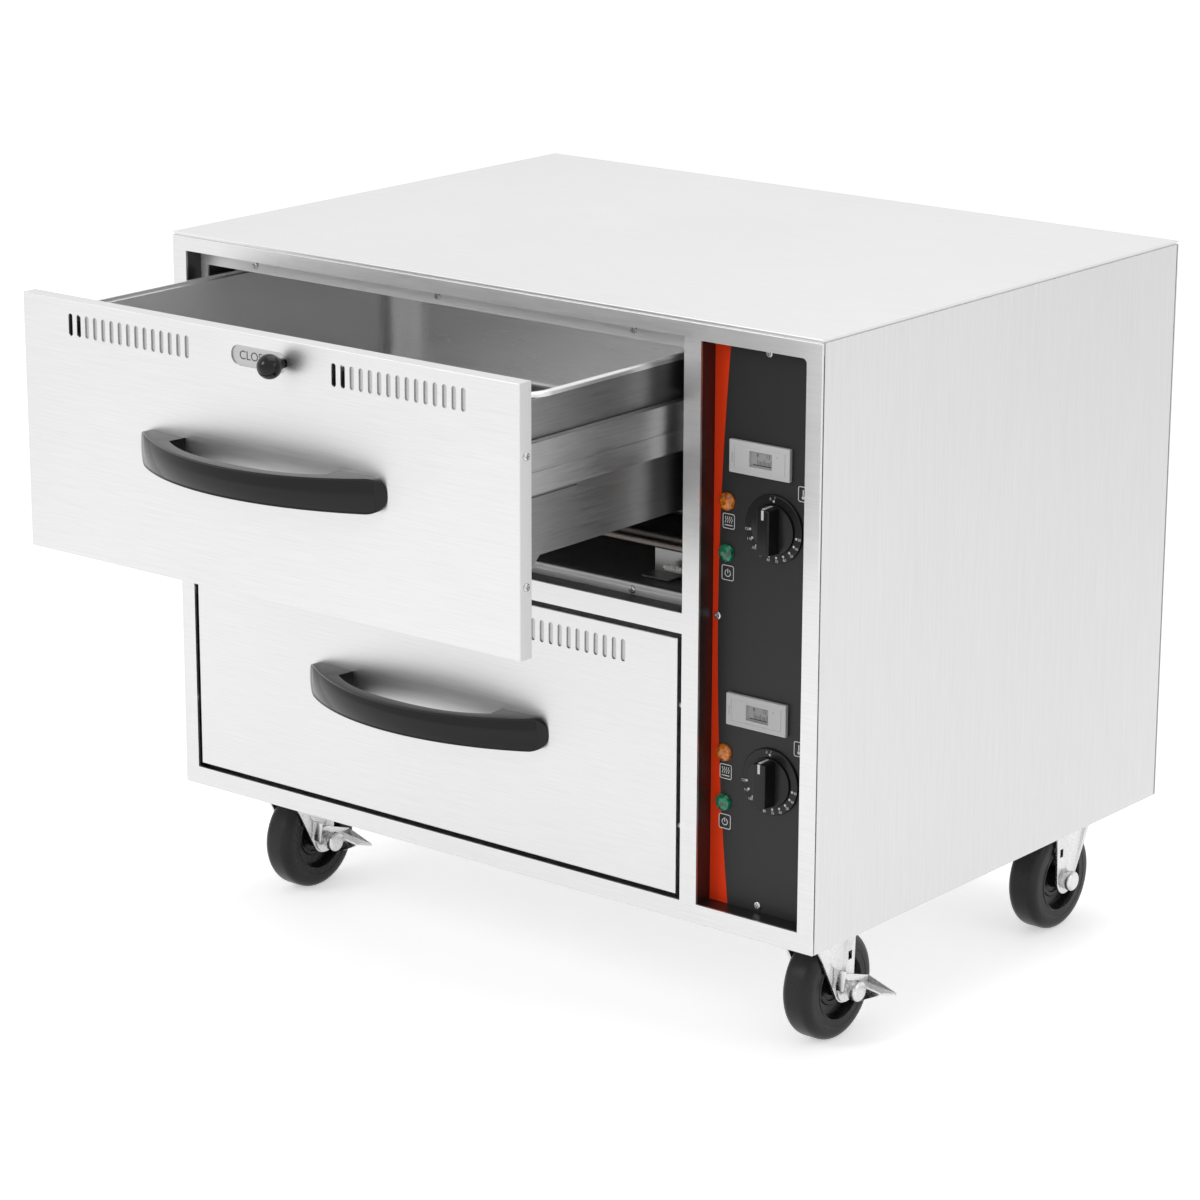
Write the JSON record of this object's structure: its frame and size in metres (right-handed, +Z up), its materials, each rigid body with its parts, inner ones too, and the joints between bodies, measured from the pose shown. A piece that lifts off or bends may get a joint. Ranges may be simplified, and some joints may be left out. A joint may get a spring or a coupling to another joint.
{
  "type": "two-drawer warming cabinet",
  "caption": "Free-standing warming cabinet on swivel casters with pull-out pans on ball-bearing slides, sliding vents, dial thermostats and pilot lamps.",
  "frame": {"origin": "on the floor, below the centre of the box round the object with its upper drawer part open", "axes": "+Z up, -Y out of the drawers, +X to the right seen from the front"},
  "size_m": [0.75, 0.8399, 0.6635],
  "materials": {
    "steel": "brushed, satin",
    "liner": "mill finish",
    "backing": "dark insulating board",
    "bezel": "light, satin",
    "shutter": "mill finish",
    "frame": "mill finish",
    "pan": "bright, satin",
    "rail": "zinc plated, satin",
    "ball": "polished",
    "screw": "bright",
    "heater": "dull, heat tinted",
    "insulation": "matte wool",
    "fascia": "satin black",
    "scale": "printed card behind a clear window",
    "amber": "clear coloured lens",
    "green": "clear coloured lens",
    "black_gloss": "glossy",
    "black_matte": "matte",
    "zinc": "zinc plated",
    "tyre": "matte, rounded tread"
  },
  "bodies": {
    "cabinet": {"top_panel": "steel", "base_panel": "steel", "left_side_panel": "steel", "right_side_panel": "steel", "back_panel": "steel", "front_frame": "steel", "upper_liner": "liner", "lower_liner": "liner", "panel_screws": "screw", "heating_elements": "heater", "insulation": "insulation", "control_fascia": "fascia", "thermometer_bezels": "bezel", "thermometer_scales": "scale", "heating_lamps": "amber", "power_lamps": "green", "thermostats": "black_matte", "dial_rings": "black_matte", "cabinet_rails": "rail", "caster_plates": "zinc", "plate_bolts": "zinc", "cable_gland": "black_matte"},
    "upper_knob": {"upper_knob": "black_matte"},
    "upper_drawer": {"upper_drawer_front": "steel", "upper_front_backing": "backing", "upper_handle": "black_gloss", "upper_drawer_screws": "screw", "upper_drawer_frame": "frame", "upper_pan": "pan", "upper_drawer_rails": "rail"},
    "upper_shutter": {"upper_vent_shutter": "shutter", "upper_vent_knob": "black_gloss"},
    "upper_middle": {"upper_middle_rails": "rail", "upper_ball_cages": "ball"},
    "lower_knob": {"lower_knob": "black_matte"},
    "lower_drawer": {"lower_drawer_front": "steel", "lower_front_backing": "backing", "lower_handle": "black_gloss", "lower_drawer_screws": "screw", "lower_drawer_frame": "frame", "lower_pan": "pan", "lower_drawer_rails": "rail"},
    "lower_shutter": {"lower_vent_shutter": "shutter", "lower_vent_knob": "black_gloss"},
    "lower_middle": {"lower_middle_rails": "rail", "lower_ball_cages": "ball"},
    "front_left_swivel": {"front_left_fork": "zinc", "front_left_axle": "zinc"},
    "front_left_wheel": {"front_left_wheel": "tyre"},
    "front_left_brake": {"front_left_brake": "zinc"},
    "front_right_swivel": {"front_right_fork": "zinc", "front_right_axle": "zinc"},
    "front_right_wheel": {"front_right_wheel": "tyre"},
    "front_right_brake": {"front_right_brake": "zinc"},
    "rear_left_swivel": {"rear_left_fork": "zinc", "rear_left_axle": "zinc"},
    "rear_left_wheel": {"rear_left_wheel": "tyre"},
    "rear_right_swivel": {"rear_right_fork": "zinc", "rear_right_axle": "zinc"},
    "rear_right_wheel": {"rear_right_wheel": "tyre"}
  },
  "joints": [
    {"name": "upper_middle_slide", "type": "slide", "parent": "cabinet", "child": "upper_middle", "axis": [0, -1, 0], "range_m": [-0.2114, 0.0036]},
    {"name": "upper_drawer_slide", "type": "slide", "parent": "upper_middle", "child": "upper_drawer", "axis": [0, -1, 0], "range_m": [0, 0.215]},
    {"name": "upper_vent_slide", "type": "slide", "parent": "upper_drawer", "child": "upper_shutter", "axis": [-1, 0, 0], "range_m": [0, 0.0359]},
    {"name": "upper_knob_turn", "type": "hinge", "parent": "cabinet", "child": "upper_knob", "pos_m": [0.314, -0.13775, 0.488], "axis": [0, 1, 0], "range_deg": [0, 270]},
    {"name": "lower_middle_slide", "type": "slide", "parent": "cabinet", "child": "lower_middle", "axis": [0, -1, 0], "range_m": [0, 0.215]},
    {"name": "lower_drawer_slide", "type": "slide", "parent": "lower_middle", "child": "lower_drawer", "axis": [0, -1, 0], "range_m": [0, 0.215]},
    {"name": "lower_vent_slide", "type": "slide", "parent": "lower_drawer", "child": "lower_shutter", "axis": [-1, 0, 0], "range_m": [0, 0.0359]},
    {"name": "lower_knob_turn", "type": "hinge", "parent": "cabinet", "child": "lower_knob", "pos_m": [0.314, -0.13775, 0.2626], "axis": [0, 1, 0], "range_deg": [0, 270]},
    {"name": "front_left_swivel_turn", "type": "hinge", "parent": "cabinet", "child": "front_left_swivel", "pos_m": [-0.3144, -0.06655, 0.11], "axis": [0, 0, 1], "continuous": true},
    {"name": "front_left_wheel_turn", "type": "hinge", "parent": "front_left_swivel", "child": "front_left_wheel", "pos_m": [-0.3144, -0.04855, 0.0508], "axis": [1, 0, 0], "continuous": true},
    {"name": "front_left_brake_turn", "type": "hinge", "parent": "front_left_swivel", "child": "front_left_brake", "pos_m": [-0.3144, -0.04855, 0.0508], "axis": [1, 0, 0], "range_deg": [-18, 0]},
    {"name": "front_right_swivel_turn", "type": "hinge", "parent": "cabinet", "child": "front_right_swivel", "pos_m": [0.3144, -0.06655, 0.11], "axis": [0, 0, 1], "continuous": true},
    {"name": "front_right_wheel_turn", "type": "hinge", "parent": "front_right_swivel", "child": "front_right_wheel", "pos_m": [0.3144, -0.04855, 0.0508], "axis": [1, 0, 0], "continuous": true},
    {"name": "front_right_brake_turn", "type": "hinge", "parent": "front_right_swivel", "child": "front_right_brake", "pos_m": [0.3144, -0.04855, 0.0508], "axis": [1, 0, 0], "range_deg": [-18, 0]},
    {"name": "rear_left_swivel_turn", "type": "hinge", "parent": "cabinet", "child": "rear_left_swivel", "pos_m": [-0.3144, 0.33295, 0.11], "axis": [0, 0, 1], "continuous": true},
    {"name": "rear_left_wheel_turn", "type": "hinge", "parent": "rear_left_swivel", "child": "rear_left_wheel", "pos_m": [-0.3144, 0.31495, 0.0508], "axis": [1, 0, 0], "continuous": true},
    {"name": "rear_right_swivel_turn", "type": "hinge", "parent": "cabinet", "child": "rear_right_swivel", "pos_m": [0.3144, 0.33295, 0.11], "axis": [0, 0, 1], "continuous": true},
    {"name": "rear_right_wheel_turn", "type": "hinge", "parent": "rear_right_swivel", "child": "rear_right_wheel", "pos_m": [0.3144, 0.31495, 0.0508], "axis": [1, 0, 0], "continuous": true}
  ]
}
